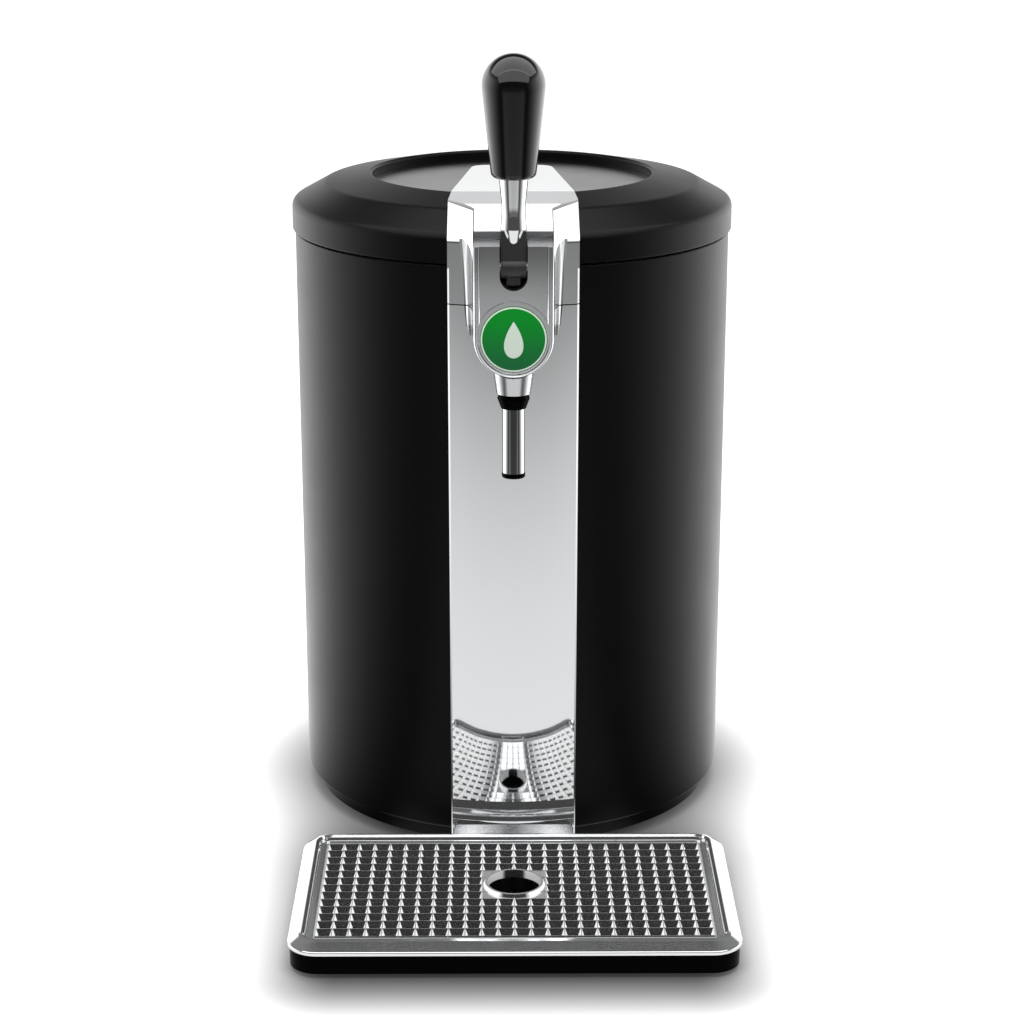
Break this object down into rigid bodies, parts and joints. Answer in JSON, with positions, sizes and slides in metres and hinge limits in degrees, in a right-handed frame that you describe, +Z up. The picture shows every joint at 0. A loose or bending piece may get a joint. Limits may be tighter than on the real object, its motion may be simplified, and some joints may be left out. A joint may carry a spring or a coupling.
{
  "type": "mini keg beer dispenser",
  "caption": "Cooled round black dispenser for a mini keg, with a silver front column, pull-forward tap lever, spout, hinged lid and a loose drip tray with a chrome grid.",
  "frame": {"origin": "centre of the footprint, on the surface that the dispenser stands on", "axes": "+Z up, -Y towards the user (the spout and tray), +X to the user's right"},
  "size_m": [0.249, 0.409, 0.445],
  "materials": {
    "satin_black_shell": "satin black moulded plastic",
    "gloss_black": "polished black plastic",
    "dark_plastic": "dark moulded plastic",
    "polished_silver": "polished metal with a soft mirror",
    "satin_silver": "silver finish with a soft sheen",
    "bright_chrome": "mirror chrome",
    "green_badge": "clear-coated green",
    "steel_hardware": "plain steel",
    "raw_aluminium": "mill finish",
    "white_ceramic": "white ceramic plates",
    "foam_fill": "rigid foam",
    "lid_lining": "pale grey plastic",
    "black_rubber": "matt rubber",
    "circuit_board": "green laminate with parts",
    "brass_pins": "plain brass"
  },
  "bodies": {
    "body": {"outer_shell": "satin_black_shell", "base_plinth": "satin_black_shell", "rear_panel": "satin_black_shell", "hinge_bracket": "satin_black_shell", "spout_collar": "gloss_black", "spout_tip": "gloss_black", "deck_plate": "dark_plastic", "rim_ring": "dark_plastic", "fan_frame": "dark_plastic", "inlet_housing": "dark_plastic", "switch_frame": "dark_plastic", "lever_bracket": "dark_plastic", "tube_guide": "dark_plastic", "column_panel": "polished_silver", "tap_housing": "satin_silver", "tap_cover": "satin_silver", "spout_cone": "satin_silver", "column_sill": "bright_chrome", "spout_tube": "bright_chrome", "badge": "green_badge", "base_screws": "steel_hardware", "lever_pin": "steel_hardware", "hinge_pin": "steel_hardware", "hinge_screws": "steel_hardware", "chamber_liner": "raw_aluminium", "cold_block": "raw_aluminium", "heat_sink": "raw_aluminium", "cooling_module": "white_ceramic", "insulation": "foam_fill", "plinth_feet": "black_rubber", "power_board": "circuit_board", "control_board": "circuit_board", "inlet_pins": "brass_pins"},
    "lid": {"lid_shell": "satin_black_shell", "lid_inlay": "gloss_black", "lid_insulation": "foam_fill", "lid_liner": "lid_lining", "lid_gasket": "black_rubber", "lid_nose": "satin_silver", "lid_hinge_arm": "satin_black_shell"},
    "lever": {"lever_hub": "dark_plastic", "lever_stem": "bright_chrome", "lever_knob": "gloss_black"},
    "fan": {"fan_rotor": "dark_plastic"},
    "rocker": {"switch_rocker": "dark_plastic"},
    "tray": {"tray_base": "gloss_black", "tray_rim": "bright_chrome", "tray_feet": "black_rubber"},
    "grid": {"drip_grid": "bright_chrome"}
  },
  "joints": [
    {"name": "lid_hinge", "type": "hinge", "parent": "body", "child": "lid", "pos_m": [0, 0.1995, 0.3412], "axis": [-1, 0, 0], "range_deg": [0, 90]},
    {"name": "lever_pull", "type": "hinge", "parent": "body", "child": "lever", "pos_m": [0, -0.0735, 0.3365], "axis": [1, 0, 0], "range_deg": [0, 40]},
    {"name": "fan_spin", "type": "hinge", "parent": "body", "child": "fan", "pos_m": [0, 0.0685, 0.027], "axis": [0, 0, 1], "continuous": true},
    {"name": "switch_rock", "type": "hinge", "parent": "body", "child": "rocker", "pos_m": [0.014, 0.1798, 0.038], "axis": [1, 0, 0], "range_deg": [0, 16]},
    {"name": "tray_slide", "type": "slide", "parent": "body", "child": "tray", "axis": [0, -1, 0], "range_m": [0, 0.06]},
    {"name": "grid_lift", "type": "slide", "parent": "tray", "child": "grid", "axis": [0, 0, 1], "range_m": [0, 0.03]}
  ]
}
